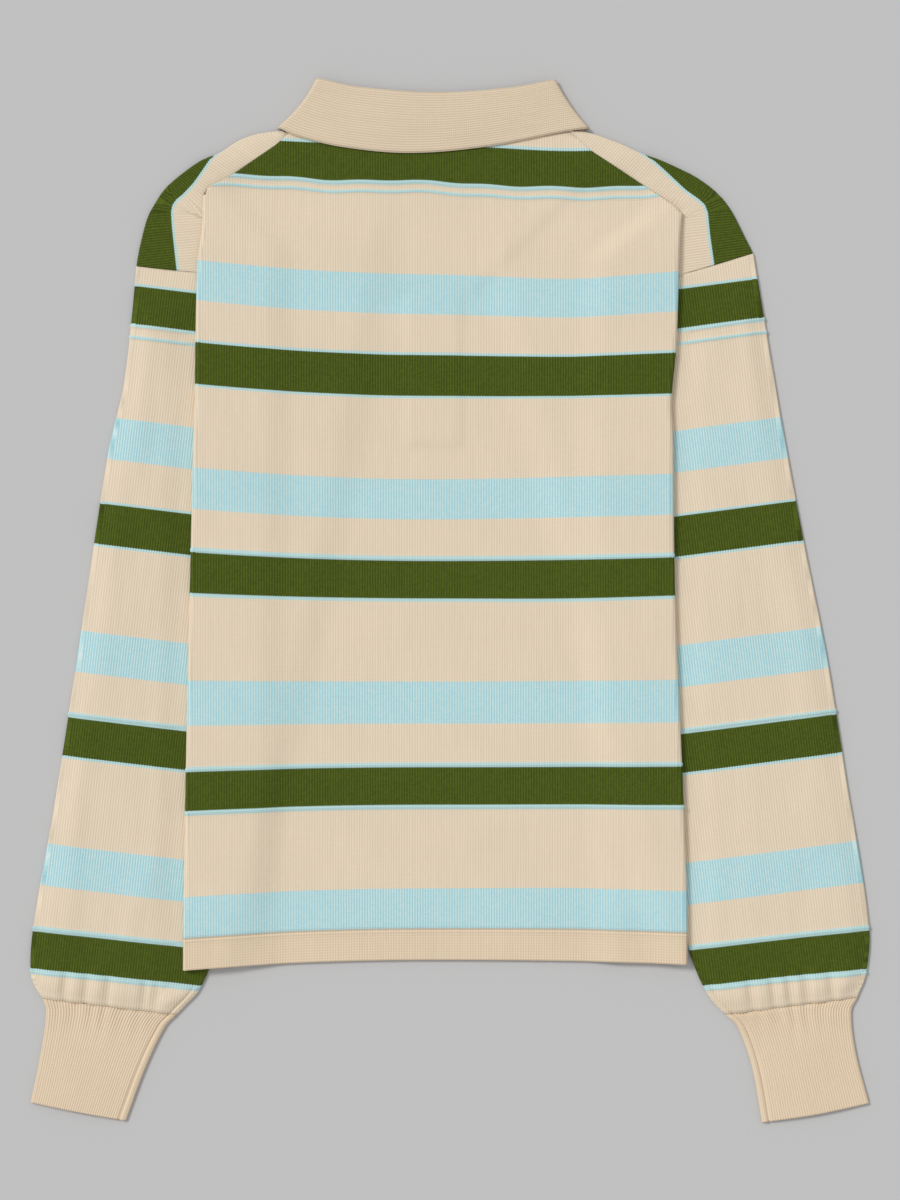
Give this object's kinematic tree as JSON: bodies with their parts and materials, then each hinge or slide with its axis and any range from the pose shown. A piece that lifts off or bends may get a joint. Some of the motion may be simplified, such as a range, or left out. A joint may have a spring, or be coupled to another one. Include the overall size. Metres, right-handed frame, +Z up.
{
  "type": "rugby shirt",
  "caption": "Long-sleeved knit rugby shirt with a fold-down collar, laid flat on its front, sides turned under over the sleeves.",
  "frame": {"origin": "centre of the bounding box in plan, on the surface the shirt lies on", "axes": "+X across the shirt towards the sleeve on the right of the view from above, +Y from hem to collar, +Z up from the surface; the shirt's back faces up"},
  "size_m": [0.6037, 0.7472, 0.0095],
  "materials": {
    "striped_knit": "fine-gauge cotton jersey, cream-beige with green and pale-blue stripes",
    "rib_knit": "fine ribbed cotton knit, cream-beige",
    "collar_knit": "firm cotton knit, cream-beige",
    "button": "plain cream four-hole buttons"
  },
  "bodies": {
    "root": {"back": "striped_knit", "front": "striped_knit", "sleeve_left": "striped_knit", "sleeve_right": "striped_knit", "cuff_left": "rib_knit", "cuff_right": "rib_knit", "hem_back": "rib_knit", "hem_front": "rib_knit", "collar": "collar_knit", "placket": "collar_knit", "button_1": "button", "button_2": "button", "button_3": "button"}
  },
  "joints": []
}
